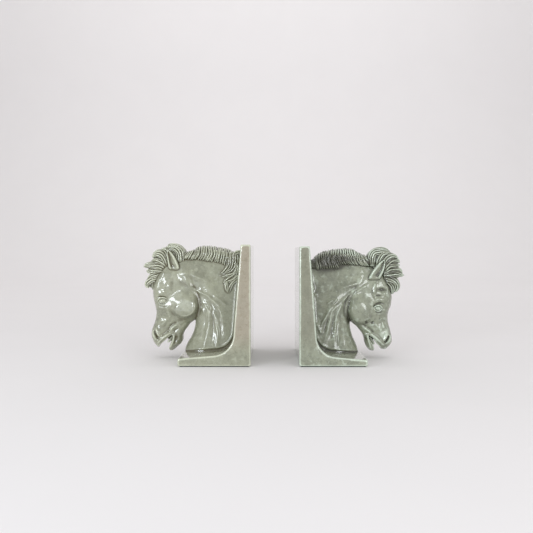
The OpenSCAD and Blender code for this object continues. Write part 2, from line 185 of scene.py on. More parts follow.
RIGHT = {
    "upright_h": 139, "foot_l": 79, "foot_end": 7.9, "foot_t": 11.5, "top_t": 12,
    "neck": [(-45, -45), (55, -45), (79.5, -30), (79.5, -6), (78, 5), (76.8, 9.5), (75.4, 14), (73.6, 19),
             (70.4, 25.5), (68.6, 31), (66.9, 38), (66.4, 45), (67.5, 53), (72, 64), (79, 78), (85, 92),
             (88, 105), (87, 115), (82, 123), (74, 128.5), (63, 131), (50, 131), (40, 129), (28, 124),
             (14, 117), (-6, 112), (-45, 98)],
    "neck_half": [(8, 24), (13, 23.4), (20, 22.6), (30, 21.4), (42, 19.8), (55, 18.2), (68, 16.6),
                  (84, 15), (98, 13.4), (110, 11.4), (120, 8.6), (130, 5)],
    "head": [(78, 116), (88, 119.5), (99, 115), (107, 106), (112.5, 96), (116.5, 86), (118.6, 77),
             (118.1, 71), (117.2, 65), (115, 59.8), (113.7, 53.5), (113.9, 47), (114.8, 42),
             (116.2, 37.5), (117.4, 32), (118.6, 27.5), (119.2, 22.5), (118.2, 18.5), (115.6, 14.8),
             (112.8, 11.8), (110, 10.4), (105, 11), (99, 10), (95.5, 8.6), (91.5, 9.3), (88.3, 12),
             (85.8, 16.5), (84.2, 21), (83.3, 26), (81.3, 31), (77.8, 35.5), (73.8, 40), (68, 44.5),
             (63.5, 50), (60.8, 56), (59.8, 63), (60.5, 71), (63, 79), (67, 88), (71, 98), (74.5, 108)],
    "head_half": [(8, 4.5), (11, 7), (14, 9), (18, 10.4), (22, 11.1), (27, 11.5), (33, 11.5), (38, 11.7),
                  (44, 12.4), (50, 13.8), (56, 15), (61, 15.7), (67, 15.9), (74, 15.8), (82, 15.2),
                  (90, 14.6), (97, 13.2), (104, 11), (111, 8), (118, 5)],
    "mouth": [(88.6, 28.8), (91.6, 27.8), (94.2, 25.6), (97, 21.4), (99.8, 17.4), (103.6, 14), (105.4, 8),
              (105, 2), (96, 2), (96.6, 10), (95.2, 14.6), (92.4, 20.1), (89.3, 24.9)],
    "mouth_corner": (88.8, 28.2),
    "tongue": [(91.2, 25.8), (93.2, 22.4), (95.4, 18.4)],
    "neck_strokes": [
        ([(76, 102), (64, 94), (50, 80), (38, 60), (31, 38), (29, 18)], 10, 0.9),
        ([(84, 95), (72, 93), (60, 90), (46, 85)], 4.0, 1.2),
        ([(80, 91), (72, 86.5), (64, 81), (58, 74.5), (54, 71)], 2.2, 1.6),
        ([(53, 71), (50, 68.5), (46, 64.3), (42.5, 60), (40.8, 55), (40, 49), (38, 43), (36.5, 36),
          (34, 28), (30.5, 17)], 3.0, 1.6),
        ([(45, 67), (41, 64), (38, 59.3), (35, 53.4), (32, 48.6), (29.6, 44), (28.4, 36)], 2.6, 1.45),
        ([(54.5, 71), (53, 67), (50.2, 60.5), (47.6, 53.4), (46.6, 46.5), (45.8, 38), (45, 28),
          (45, 17)], 3.3, 1.8),
        ([(49, 75), (45.5, 71.5), (43, 68)], 1.9, 1.1),
        ([(44, 73.5), (40, 71.3), (36, 68.5)], 1.9, 1.1),
        ([(52, 50), (49.8, 40), (49.6, 30), (50.2, 16)], 2.6, 1.4),
        ([(58, 52), (56.5, 40), (58, 28), (60.5, 13)], 3.6, 1.3),
        ([(24, 46), (26, 39), (29.5, 32)], 2.6, 1.5),
        ([(18, 92), (20, 86)], 2.2, 1.2), ([(21, 79), (24, 81)], 2.2, 1.2),
        ([(47, 58), (43.5, 50), (42, 40), (40, 28)], 2.2, -0.6),
        ([(38, 52), (34, 42), (32, 34)], 2.0, -0.6),
        ([(54, 62), (52, 54), (52.5, 44)], 2.2, -0.6),
        ([(70, 87), (62, 78), (58, 68), (57.5, 58), (61, 48)], 3.2, -1.6),
    ],
    "eye": (99.2, 63.4), "eye_w": 13.2,
    "ear": [(106.6, 122.6), (107.5, 117.5), (107, 112.5), (105.4, 107.5), (103, 102.4), (100.2, 97.4),
            (95.6, 94.4), (90, 94.8), (87.2, 98.2), (88.6, 103), (91.8, 108.4), (95.6, 113.8),
            (100, 118.8), (103.8, 121.8)],
    "ear_root": (97, 12.4),
    "mane": [(4, 118), (14, 122), (22, 126.2), (26, 129.2), (31, 131.8), (36, 133.8), (42, 134.9),
             (50, 135.8), (60, 136.4), (66, 136), (71, 134.4), (76, 131.6), (81, 129), (88, 127),
             (94, 122), (93, 114.5), (84, 113), (74, 114.2), (62, 115.4), (55, 114.6), (51.5, 110.5),
             (42, 109.4), (31, 108.6), (25, 107.6), (14, 108), (4, 110)],
    "mane_half": [(10, 11.5), (24, 13), (40, 14), (60, 14), (74, 13.4), (84, 12.4), (94, 11)],
    "combs": [
        # the lower tier, slanting back and then towards the head
        ([[(84, 126), (82.5, 122.5), (86, 117), (90, 114)],
          [(78, 128), (76, 123), (79.5, 117.5), (84, 113.5)],
          [(71, 129), (68.5, 124), (72, 118), (77, 114)],
          [(64, 129.5), (61, 124.5), (64.5, 119), (70, 115)],
          [(57, 129.5), (54, 124.5), (57.5, 118.5), (62, 115)],
          [(50, 130), (47, 124), (50, 117), (53.5, 112)],
          [(43, 129), (40.5, 123), (43, 116), (45.5, 110)],
          [(36, 128), (34.5, 122), (36.5, 115), (37, 109.4)],
          [(30, 127), (29, 121), (31, 114.5), (30, 108.5)],
          [(24, 124), (23, 118), (24, 112.5), (24.5, 107.4)]], 27, 0.1),
        # the upper tier, from the crest half way down
        ([[(84, 129), (84, 127), (85.5, 124), (87, 121.5)],
          [(77, 133), (77, 130), (79, 126), (81, 123)],
          [(70, 136.5), (69.5, 133), (70.5, 129), (72.5, 125.5)],
          [(62, 138), (61.5, 134), (61.5, 130), (62, 127.4)],
          [(54, 137.6), (53.5, 133.5), (53, 130), (53, 127.4)],
          [(46, 137), (45, 133), (44, 129.5), (43.5, 126.5)],
          [(37, 135.5), (36, 132), (34.5, 128), (34, 125)],
          [(29, 132.5), (28, 129), (27, 125.5), (26.5, 122)],
          [(22.5, 128), (22.5, 126), (22.8, 122.5), (23, 119)]], 25, 1.3),
    ],
    "forelock": [
        ([(93, 116), (92.6, 124), (95, 130), (101, 132.6), (108, 132.8), (115, 130.6)], 3.8, 12),
        ([(98.5, 112), (100, 120), (103, 126.4), (108, 129.6), (113, 130)], 3.6, 9.5),
        ([(98.5, 115), (101, 122.6), (105, 128.4), (111, 130.2), (117.4, 128.6)], 2.8, 12.6),
        ([(105, 113), (108, 119.6), (112.4, 124.8), (118.4, 126.8), (124.4, 124.4)], 3.2, 13),
        ([(107, 111), (111.6, 117), (117, 120.6), (122, 121.6), (127, 120)], 2.6, 13.4),
        ([(107.6, 108.6), (113, 113.6), (119, 116), (126.6, 116)], 2.4, 13.4),
        ([(107.6, 106), (114, 109.8), (120.6, 110.6), (126, 110), (130, 107.6)], 2.7, 13),
        ([(107.6, 103), (114, 105), (121, 105.2), (127, 103.8), (132, 103.4)], 2.8, 12.6),
        ([(108, 99.6), (113, 98.6), (118.4, 96.6), (122.6, 92.6), (123.2, 87.6), (121, 82.6)], 3.4, 12),
        ([(108, 96), (113, 93.4), (116.6, 89.6), (117.8, 85), (118, 80.6)], 3.2, 10.5),
    ],
    # painted shade on the eye, the mane, the forelock and round the cheek; painted light on the muzzle
    # where the height is below 0
    "painted_shade_and_light": [((98.5, 63.5), (3.0, 1.9), 0.3), ((40, 121), (19, 11), 1.8), ((62, 123.5), (20, 4), 0.9),
             ((88, 121), (6, 5), 0.7), ((117, 100), (9, 2.5), 0.5), ((106, 32), (9, 8), -0.6),
             ((95, 40), (9, 5), -0.35), ((103.5, 87), (6, 4), 0.3), ((84.5, 46.5), (2.4, 2.6), 0.3),
             ((92.5, 45.5), (2.4, 2), 0.3), ((117, 112), (11, 24), 0.35), ((70, 46.5), (9, 2.2), 0.4),
             ((62, 49), (3, 6), 0.5)],
    "shade": [([(88, 101), (76, 95), (62, 90), (46, 85)], 5, 0.26),
              ([(24, 104), (22, 84), (24, 64)], 6, 0.14)],
    "features": [((84.5, 46.5), (1.9, 2.2), -1.4), ((92.5, 45.5), (1.9, 1.7), -1.5),
                 ((86, 37.5), (3, 1.8), -1.0), ((93, 42.8), (2.4, 1.5), 0.7),
                 ((101.5, 50), (1.4, 2.8), -0.7), ((103.5, 86), (4.6, 2.6), -1.7),
                 ((107, 81), (2.6, 2.2), 0.9), ((99.5, 79), (3.2, 1.3), -1.0),
                 ((97, 73), (1.8, 2.2), 0.8), ((102.5, 73.8), (3, 1.4), 0.6), ((95, 77), (1.6, 1.5), 0.5),
                 ((94, 66), (1.6, 1.8), -0.9)],
    "lines": [([(60.5, 79), (57, 73), (55.8, 67)], 2.1, 1.15), ([(64.5, 76), (63, 70)], 1.7, 0.9),
              ([(86, 92), (78, 87), (70, 82)], 1.6, 0.9),
              ([(111.5, 90), (110.8, 84), (110.5, 80)], 1.4, 1.1),
              ([(95.5, 95), (94.5, 88), (94.8, 81)], 1.5, 1.2), ([(104.5, 46), (107.5, 38)], 1.3, 0.8),
              ([(62, 48), (72, 44.5), (81, 43), (86, 38)], 1.5, -1.1)],
    "eye_size": 0.9,
    "scalp": [(92, 113), (92.6, 124), (96, 129.6), (102, 131), (109, 130), (115, 127.4), (119, 122.6),
              (121, 117), (122, 110), (121, 103), (118.6, 96), (115.6, 90), (111, 92), (106, 101),
              (99, 108)],
    "tail": [],
}
HORSES = {"left": LEFT, "right": RIGHT}

# What is on a head, drawn on the left one. Strokes are (points, width, height), a groove's height below 0.
FACE_STROKES = [
    ([(116.5, 78.5), (113, 81.6), (109, 83), (105, 84)], 2.2, 0.5),  # brow
    ([(117.4, 74.6), (114, 77.4), (109, 77.3), (105, 75.8)], 1.1, -0.9),  # fold over the eye
    ([(104.6, 67.6), (108, 65.4), (112, 65.2), (115, 67)], 0.9, -0.6),  # fold under the eye and its edge
    ([(104.8, 65.6), (108.6, 63.8), (112.6, 64)], 0.9, 0.5),
    ([(105.5, 65.8), (102.4, 58), (100.4, 50)], 2.2, 1.0),  # crest of the face
    ([(92, 45.8), (96, 44.6), (100, 41.8), (103, 37.6), (103.4, 34.6)], 1.7, -1.5),  # behind the mouth
    ([(91.6, 42.6), (96, 41), (99.4, 38), (101.4, 34.4)], 1.6, 1.1),
    ([(90.6, 38.4), (94.6, 36), (97.4, 32.6)], 1.6, -0.8),
    ([(123.8, 36.5), (123.2, 31), (120.8, 26)], 1.5, 0.9),  # rims of the nostril
    ([(119.0, 39), (117.2, 32.5), (114.8, 27.5)], 1.5, 1.1),
    ([(99.4, 32.6), (103.6, 30.8), (109, 26.8), (114.4, 21.8), (118.4, 18)], 1.7, 1.5),  # upper lip
    ([(103, 35.6), (108, 32.6), (112.8, 28.2)], 2.0, -0.9),  # hollow over the upper lip
    ([(97.4, 31.4), (96.6, 27), (98, 21.6), (100.4, 16.6), (102.6, 12)], 1.5, 1.5),  # lower lip
    ([(94, 29), (94.6, 23), (97, 17)], 1.8, -0.9),  # hollow behind the lower lip
    ([(88.5, 40), (84.5, 44), (79, 47.5)], 1.6, -0.7),  # under the cheek
    ([(104, 50), (109, 44), (113, 41)], 1.6, 0.7),  # muscle from the face to the nostril
]
# Soft swellings and hollows: (place, half sizes, height).
FACE_SWELLINGS = [
    ((110, 72.4), (6.6, 5.0), -2.4),  # socket of the eye
    ((113.6, 56.5), (5.5, 9.5), -1.1),  # flank of the nose
    ((112.4, 46), (3.6, 3.2), 1.1),  # over the nostril
    ((119.4, 32), (6.0, 6.8), 1.6),  # round the nostril
    ((94.5, 18.5), (4.5, 4.5), 1.0),  # chin
    ((98.5, 56), (4.5, 6.5), -0.9),  # between the crest and the cheek
]
# Painted shade, drawn as more pooled glaze colour than the shape alone would hold: strokes over the left
# head, round the eyes, behind and under the cheek, on the jaw and over the upper lip.
PAINTED_SHADE_STROKES = [
    ([(104.8, 71.6), (107, 75.4), (111, 76.4), (115.2, 73.6)], 0.9, 0.55),  # edges of the lids
    ([(105.2, 70.6), (108, 67.8), (112, 67.4), (114.8, 70)], 0.9, 0.5),
    ([(69, 87), (66.5, 78), (64.5, 68), (66.5, 58), (72, 51), (80, 44.5)], 3.4, 0.30),  # behind the cheek
    ([(100, 50), (92, 48.6), (84, 48), (77, 49.5)], 2.4, 0.34),  # under the cheek
    ([(93, 34), (91, 26), (95, 17)], 4.0, 0.30),  # the jaw
    ([(99, 97), (98.5, 90), (101, 84)], 3.4, 0.26),  # hollow over the eye
    ([(116, 76), (110, 78.6), (104.4, 76), (103.6, 71)], 1.6, 0.40),  # soft shade outside them
    ([(115, 70), (112, 67.4), (107, 67.2)], 1.2, 0.40),
    ([(104, 47), (108, 40), (112, 33)], 3.0, 0.14),  # hollow over the upper lip
]
NOSTRIL = ([(121.9, 35.2), (120.4, 31.6), (118.3, 27.6), (116.6, 24.2)], 1.5, -4.0)
CHEEK = ((82.6, 68.8), 18.0, 4.2)  # its middle, radius and height
CHEEK_LEAN = {"left": (0.13, 0.17), "right": (0.0, 0.03)}  # how steeply it falls outwards and upwards
POLL, LIP = (80, 122), (113, 13)  # the ends of the head's long axis

# How the right head differs: what stands here on the left head stands there on the right one.
LANDMARKS = [
    ((109, 72), (99, 64)), ((82.3, 69.3), (76.3, 61.8)), ((99.3, 28.8), (88.6, 28.4)),
    ((118.5, 13.3), (108.6, 11)), ((120.4, 31.6), (112.6, 25.8)), ((103, 14), (93.6, 11)),
    ((86.2, 29), (83.2, 26)), ((63, 66), (59.8, 62)), ((98, 41.5), (87.4, 37.4)), ((85, 127), (78, 116)),
    ((112, 46), (104, 40)), ((94, 92), (87, 82)),
]


def carried(points):
    """Points of the left head, moved to where they are on the right one, as the nearest landmarks move."""
    source, target = np.array(LANDMARKS, float).transpose(1, 0, 2)
    near = 4.0
    moved = []
    for p in np.array(points, float):
        weight = 1 / (((source - p) ** 2).sum(1) + near ** 2) ** 1.5
        moved.append(p + (weight[:, None] * (target - source)).sum(0) / weight.sum())
    return [tuple(p) for p in moved]


def on_head(side, points):
    """Points drawn on the left head, where they belong on this side's head."""
    return list(points) if side == "left" else carried(points)


# ----------------------------------------
# Curves and flat maps over (u, z)

def smooth_line(points, closed=False, per=8):
    """A Catmull-Rom curve through the points, as an array with `per` steps between each two."""
    p = np.array(points, float)
    n = len(p)
    spans = n if closed else n - 1
    out = []
    for i in range(spans):
        if closed:
            a, b, c, d = p[i - 1], p[i], p[(i + 1) % n], p[(i + 2) % n]
        else:
            a, b, c, d = p[max(i - 1, 0)], p[i], p[i + 1], p[min(i + 2, n - 1)]
        for t in np.arange(per) / per:
            out.append(0.5 * (2 * b + (c - a) * t + (2 * a - 5 * b + 4 * c - d) * t ** 2
                              + (3 * b - a - 3 * c + d) * t ** 3))
    if not closed:
        out.append(p[-1])
    return np.array(out)


def lifted(line, w):
    """A flat line of (u, z) as points (u, w, z)."""
    return np.stack([line[:, 0], w, line[:, 1]], axis=1)


def line_distance(line, u, z, closed=False):
    """Distance from each (u, z) to a polyline, and how far along it the nearest point is, from 0 to 1."""
    starts = line if closed else line[:-1]
    ends = np.roll(line, -1, axis=0) if closed else line[1:]
    best = np.full(u.shape, 1e9)
    along = np.zeros(u.shape)
    for i, (a, b) in enumerate(zip(starts, ends)):
        du, dz = b - a
        t = np.clip(((u - a[0]) * du + (z - a[1]) * dz) / (du * du + dz * dz + 1e-12), 0, 1)
        d = (u - a[0] - t * du) ** 2 + (z - a[1] - t * dz) ** 2
        near = d < best
        best = np.where(near, d, best)
        along = np.where(near, (i + t) / len(starts), along)
    return np.sqrt(best), along


def inside(line, u, z):
    """True where (u, z) is inside a closed polyline."""
    result = np.zeros(u.shape, bool)
    for a, b in zip(line, np.roll(line, -1, axis=0)):
        crosses = (a[1] > z) != (b[1] > z)
        rise = b[1] - a[1] if b[1] != a[1] else 1e-12
        result ^= crosses & (u < (b[0] - a[0]) * (z - a[1]) / rise + a[0])
    return result


def depth_in(line, u, z):
    """How deep (u, z) lies inside a closed polyline, below 0 outside it."""
    distance, _ = line_distance(line, u, z, closed=True)
    return np.where(inside(line, u, z), distance, -distance)


def ease(low, high, x):
    """From 0 where x is low to 1 where x is high, smoothly."""
    t = np.clip((x - low) / (high - low), 0, 1)
    return t * t * (3 - 2 * t)


def stroke(points, width, height, u, z, crest=0.0):
    """A ridge or groove along a curve, fading out at both ends. The crest is how much of it is narrow."""
    distance, along = line_distance(smooth_line(points), u, z)
    fade = ease(0, 0.25, along) * ease(0, 0.25, 1 - along)
    broad = np.exp(-(distance / width) ** 2)
    narrow = np.exp(-(distance / (0.4 * width)) ** 2)
    return height * (0.15 + 0.85 * fade) * ((1 - crest) * broad + crest * narrow)


def swelling(middle, sizes, height, u, z):
    """A soft oval rise, or a hollow if its height is below 0."""
    return height * np.exp(-((u - middle[0]) / sizes[0]) ** 2 - ((z - middle[1]) / sizes[1]) ** 2)


def ripples(u, z, reach, seed):
    """A gentle unevenness between -1 and 1, with swells about `reach` mm long."""
    rng = np.random.default_rng(seed)
    waves = 6
    total = 0
    for _ in range(waves):
        angle = rng.uniform(0, 2 * math.pi)
        phase = rng.uniform(0, 6)
        length = reach * rng.uniform(0.7, 1.5)
        total = total + np.sin((u * math.cos(angle) + z * math.sin(angle)) * 2 * math.pi / length + phase)
    return total / waves


# ----------------------------------------
# Clay: signed distances on a grid

BALL_RIM = 2.2  # mm round a stamped ball where its distance counts


class Clay:
    """A box of space in a book end's own frame, sampled every `step` mm."""

    def __init__(self, low, high, step):
        self.low, self.step = np.array(low, float), step
        counts = np.ceil((np.array(high, float) - self.low) / step).astype(int) + 1
        u, w, z = (self.low[i] + step * np.arange(counts[i]) for i in range(3))
        self.u, self.w, self.z = u[:, None, None], w[None, :, None], z[None, None, :]
        self.flat_u, self.flat_z = np.meshgrid(u, z, indexing="ij")
        self.field = np.full(counts, FAR, np.float32)

    def sheet(self, flat):
        """A map over (u, z), stretched over w."""
        return flat[:, None, :]

    def empty(self):
        """The same grid, with nothing in it."""
        other = copy.copy(self)
        other.field = np.full(self.field.shape, FAR, np.float32)
        return other

    def read_flat(self, flat, line):
        """The values of a map over (u, z) at the points of a line."""
        g = (line - self.low[[0, 2]]) / self.step
        g = np.clip(g, 0, np.array(flat.shape) - 1.001)
        i = g.astype(int)
        f = g - i
        a = flat[i[:, 0], i[:, 1]] * (1 - f[:, 0]) + flat[i[:, 0] + 1, i[:, 1]] * f[:, 0]
        b = flat[i[:, 0], i[:, 1] + 1] * (1 - f[:, 0]) + flat[i[:, 0] + 1, i[:, 1] + 1] * f[:, 0]
        return a * (1 - f[:, 1]) + b * f[:, 1]

    def stamp(self, centres, radii):
        """Adds a ball at each centre. Its distances are only written close to it."""
        step, counts = self.step, self.field.shape
        for c, r in zip(centres, radii):
            reach = r + BALL_RIM
            lo = np.maximum(np.ceil((c - reach - self.low) / step).astype(int), 0)
            hi = np.minimum(np.floor((c + reach - self.low) / step).astype(int) + 1, counts)
            if (hi <= lo).any():
                continue
            block = tuple(slice(a, b) for a, b in zip(lo, hi))
            du = self.u[block[0]] - c[0]
            dw = self.w[:, block[1]] - c[1]
            dz = self.z[:, :, block[2]] - c[2]
            ball = np.sqrt(du * du + dw * dw + dz * dz) - r
            np.minimum(self.field[block], ball, out=self.field[block])

    def sample(self, points, field=None):
        """The field at points, between grid values."""
        field = self.field if field is None else field
        g = (points - self.low) / self.step
        g = np.clip(g, 0, np.array(field.shape) - 1.001)
        i = g.astype(int)
        f = g - i
        total = 0
        for corner in np.ndindex(2, 2, 2):
            share = np.prod(np.where(corner, f, 1 - f), axis=1)
            total = total + share * field[i[:, 0] + corner[0], i[:, 1] + corner[1], i[:, 2] + corner[2]]
        return total

    def slope(self, points):
        """How the field rises along each axis at points."""
        e = 0.5 * self.step
        return np.stack([(self.sample(points + e * axis) - self.sample(points - e * axis)) / (2 * e)
                         for axis in np.eye(3)], axis=1)


def blend(a, b, k):
    """The union of two solids with a fillet of about k."""
    h = np.clip(0.5 + 0.5 * (b - a) / k, 0, 1)
    return b + (a - b) * h - k * h * (1 - h)


def carve(a, b, k):
    """Solid a with solid b cut out of it, over a soft edge of about k."""
    return -blend(-a, b, k)


def blurred(field, cells):
    """The mean of a field over a cube that reaches `cells` grid points each way."""
    out = np.clip(field, -FAR, FAR).astype(np.float64)
    span = 2 * cells + 1
    for axis in range(3):
        before = np.repeat(out.take([0], axis), cells + 1, axis)
        after = np.repeat(out.take([-1], axis), cells, axis)
        total = np.concatenate([before, out, after], axis).cumsum(axis)
        n = out.shape[axis]
        out = (total.take(range(span, span + n), axis) - total.take(range(n), axis)) / span
    return out


def net_points(clay, cells):
    """One point in each cell that the surface passes: the middle of where it cuts the cell's edges."""
    f = clay.field
    total, hits = np.zeros((len(cells), 3)), np.zeros(len(cells))
    for axis in range(3):
        others = [a for a in range(3) if a != axis]
        for side in np.ndindex(2, 2):
            start = cells.copy()
            start[:, others] += side
            end = start.copy()
            end[:, axis] += 1
            a, b = f[tuple(start.T)], f[tuple(end.T)]
            cut = (a < 0) != (b < 0)
            t = np.where(cut, a / np.where(cut, a - b, 1), 0)
            place = start + 0.0
            place[:, axis] += t
            total += np.where(cut[:, None], place, 0)
            hits += cut
    return clay.low + clay.step * total / hits[:, None]


def net_faces(solid, number):
    """One face across each grid edge that the surface cuts, from the four cells round it."""
    faces = []
    for axis in range(3):
        others = [a for a in range(3) if a != axis]
        lower = [slice(1, -1)] * 3
        upper = [slice(1, -1)] * 3
        lower[axis], upper[axis] = slice(0, -1), slice(1, None)
        a, b = solid[tuple(lower)], solid[tuple(upper)]
        at = np.argwhere(a != b)
        outward = a[tuple(at.T)]
        at[:, others] += 1
        ring = []
        for shift in ((-1, -1), (0, -1), (0, 0), (-1, 0)):
            corner = at.copy()
            corner[:, others] += shift
            ring.append(number[tuple(corner.T)])
        ring = np.stack(ring, axis=1)
        turned = outward if axis != 1 else ~outward
        faces.append(np.where(turned[:, None], ring, ring[:, ::-1]))
    return np.concatenate(faces)


def surface(clay):
    """Points and four-sided faces of the surface where the clay's field is 0."""
    solid = clay.field < 0
    shape = np.array(solid.shape) - 1
    count = np.zeros(shape, np.int8)
    for c in np.ndindex(2, 2, 2):
        count += solid[c[0]:c[0] + shape[0], c[1]:c[1] + shape[1], c[2]:c[2] + shape[2]]
    cells = np.argwhere((count > 0) & (count < 8))
    number = np.full(shape, -1, np.int64)
    number[tuple(cells.T)] = np.arange(len(cells))
    return net_points(clay, cells), net_faces(solid, number)


def settled(clay, points, faces, rounds):
    """The points, evened out along the surface and put back on it."""
    start, end = np.concatenate([faces[:, [i, (i + 1) % 4]] for i in range(4)]).T
    count = len(points)
    degree = np.bincount(start, minlength=count)[:, None]
    for _ in range(rounds):
        total = np.stack([np.bincount(start, points[end, i], count) for i in range(3)], axis=1)
        points = 0.5 * points + 0.5 * total / degree
        slope = clay.slope(points)
        size = (slope ** 2).sum(1)
        step = np.clip(clay.sample(points) / np.maximum(size, 0.2), -clay.step, clay.step)
        points = points - slope * step[:, None]
    return points


# ----------------------------------------
# From clay to pieces of the scene

FACE_X = {"left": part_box("left_bracket")[1][0], "right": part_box("right_bracket")[0][0]}
OUTWARD = {"left": -1, "right": 1}


def placed(side, points):
    """Points of a book end's own frame, in metres in the row frame."""
    out = np.array(points, float) * MM
    out[:, 0] = FACE_X[side] + OUTWARD[side] * out[:, 0]
    return out


def make_piece(name, side, points, faces, attributes, material, nodes):
    """A mesh object that stands for CAD nodes of its side and rides with that book end."""
    mesh = bpy.data.meshes.new(name)
    if OUTWARD[side] < 0:
        faces = faces[:, ::-1]
    mesh.vertices.add(len(points))
    mesh.vertices.foreach_set("co", placed(side, points).astype(np.float32).ravel())
    mesh.loops.add(faces.size)
    mesh.loops.foreach_set("vertex_index", faces.astype(np.int32).ravel())
    mesh.polygons.add(len(faces))
    mesh.polygons.foreach_set("loop_start", np.arange(0, faces.size, 4, dtype=np.int32))
    mesh.polygons.foreach_set("use_smooth", np.ones(len(faces), bool))
    mesh.update(calc_edges=True)
    for key, values in attributes.items():
        layer = mesh.attributes.new(key, "FLOAT", "POINT")
        layer.data.foreach_set("value", np.asarray(values, np.float32))
    mesh.materials.append(material)
    mesh.validate()
    piece = bpy.data.objects.new(name, mesh)
    bpy.context.scene.collection.objects.link(piece)
    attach(piece, f"{side}_book_end")
    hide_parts(*nodes)


# ----------------------------------------
# The bracket

BRACKET_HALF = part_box("left_bracket")[1][1] / MM
FOOT_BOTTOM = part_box("left_felt")[1][2] / MM
ARRIS = 1.1  # mm, radius of the bracket's edges
LOW_ARRIS = 0.6  # mm, radius of those round the underside of its foot


def round_min(a, b, radius):
    """The union of two solids, with the corner between them filled to a radius."""
    corner = np.hypot(np.maximum(radius - a, 0), np.maximum(radius - b, 0))
    return np.maximum(np.minimum(a, b), radius) - corner


def round_max(a, b, radius):
    """What two solids share, with the edge between them rounded to a radius."""
    edge = np.hypot(np.maximum(a + radius, 0), np.maximum(b + radius, 0))
    return np.minimum(np.maximum(a, b), -radius) + edge


def inner_face(side, u, z):
    """Distance out of the face of the bracket that the horse stands on: foot top, cove and upright."""
    h = HORSES[side]
    heel = UPRIGHT_T + COVE_R
    fall = (h["foot_end"] - h["foot_t"]) / (h["foot_l"] - heel)
    above = (z - h["foot_t"] - fall * (u - heel)) / math.hypot(1, fall)
    lean = (UPRIGHT_T - h["top_t"]) / (h["upright_h"] - h["foot_t"] - COVE_R)
    beside = (u - h["top_t"] - lean * (h["upright_h"] - z)) / math.hypot(1, lean)
    return round_min(above, beside, COVE_R)


def bracket_field(clay, side):
    """The foot, the cove and the upright, a little uneven by hand."""
    h = HORSES[side]
    u, z = clay.flat_u, clay.flat_z
    flat = inner_face(side, u, z) + 0.15 * ripples(u, z, 45, 3)
    flat = round_max(flat, u - h["foot_l"], ARRIS)
    flat = round_max(flat, z - h["upright_h"], ARRIS)
    flat = round_max(flat, -u, ARRIS)
    flat = round_max(flat, FOOT_BOTTOM - z, LOW_ARRIS)
    return round_max(clay.sheet(flat), np.abs(clay.w) - BRACKET_HALF, ARRIS)


# ----------------------------------------
# The horse: a relief over (u, z) as thick as a map says, rounded over towards its outline

POWER = 2.2  # how full the rounding is: 2 is an ellipse
SUNK = 1.5  # mm that the horse reaches into the bracket
HAIR_SUNK = 1.0  # mm that the hair reaches into it
TONGUE_R, TONGUE_HALF = 1.45, 6.6


def relief(clay, depth, half, edge):
    """A relief `half` thick each way, rounded over where it is less than `edge` deep in its outline."""
    rim = clay.sheet(np.maximum(0, 1 - depth / edge) ** POWER)
    half = clay.sheet(half)
    return half * (((np.abs(clay.w) / half) ** POWER + rim) ** (1 / POWER) - 1)


def relief_height(depth, half, edge):
    """How far a relief stands out of the middle plane."""
    rim = np.clip(1 - depth / edge, 0, 1) ** POWER
    return half * (1 - rim) ** (1 / POWER)


def table(rows, x):
    """A value read between the rows (x, value) of a table."""
    xs, ys = zip(*rows)
    return np.interp(x, xs, ys)


def neck_field(clay, side):
    """The neck, with a groove along the bracket and a soft rim beside the groove."""
    h = HORSES[side]
    u, z = clay.flat_u, clay.flat_z
    gap = inner_face(side, u, z)
    rim = 0.45 * np.exp(-(gap - 3.6) ** 2)
    groove = 0.9 * ease(2.8, 1.2, gap)
    half = table(h["neck_half"], z) + sum(stroke(*s, u, z, crest=0.4) for s in h["neck_strokes"])
    half = half + rim - groove + 0.2 * ripples(u, z, 22, 5)
    depth = depth_in(smooth_line(h["neck"], closed=True), u, z)
    low, high = ease(75, 35, z), ease(95, 118, z)
    return relief(clay, depth, half, 17 + 15 * low - 8 * high)


def face_share(side, u, z):
    """From 0 behind the head's long axis to 1 on the side of its face."""
    poll, lip = (np.array(p, float) for p in on_head(side, [POLL, LIP]))
    axis = (lip - poll) / np.linalg.norm(lip - poll)
    return ease(-8, 10, (z - poll[1]) * axis[0] - (u - poll[0]) * axis[1])


def cheek(side, u, z):
    """How far the round cheek rises. Its edge is firm below and soft above."""
    place, radius, height = CHEEK
    cheek_u, cheek_z = on_head(side, [place])[0]
    away = np.hypot(u - cheek_u, z - cheek_z)
    downward = ((cheek_u - u) * 0.35 + (cheek_z - z)) / np.maximum(away, 1)
    soft = 5.5 + 13 * ease(0.6, -0.5, downward)
    plateau = ease(radius + 0.3 * soft, radius - 0.7 * soft, away)
    outwards, upwards = CHEEK_LEAN[side]
    dome = 0.5 * np.clip(1 - (away / radius) ** 2, 0, 1)
    return plateau * (height - outwards * (u - cheek_u) - upwards * (z - cheek_z)) + dome


def head_half(side, depth, to_face, u, z):
    """Half of the head's thickness: narrower towards the bridge of the nose, with all that lies on it."""
    h = HORSES[side]
    narrow = 0.26 * to_face * (1 - 0.85 * ease(80, 90, z + 0.1 * u - 11))
    half = table(h["head_half"], z) * (1 - narrow * np.clip(1 - depth / 17, 0, 1) ** 2)
    for points, width, height in FACE_STROKES + [NOSTRIL]:
        half = half + stroke(on_head(side, points), width, height, u, z)
    for place, sizes, height in FACE_SWELLINGS:
        half = half + swelling(on_head(side, [place])[0], sizes, height, u, z)
    half = half + sum(swelling(*f, u, z) for f in h["features"])
    half = half + sum(stroke(*s, u, z) for s in h["lines"])
    half = half + cheek(side, u, z) + 0.15 * ripples(u, z, 15, 9)
    return np.maximum(half, 2)


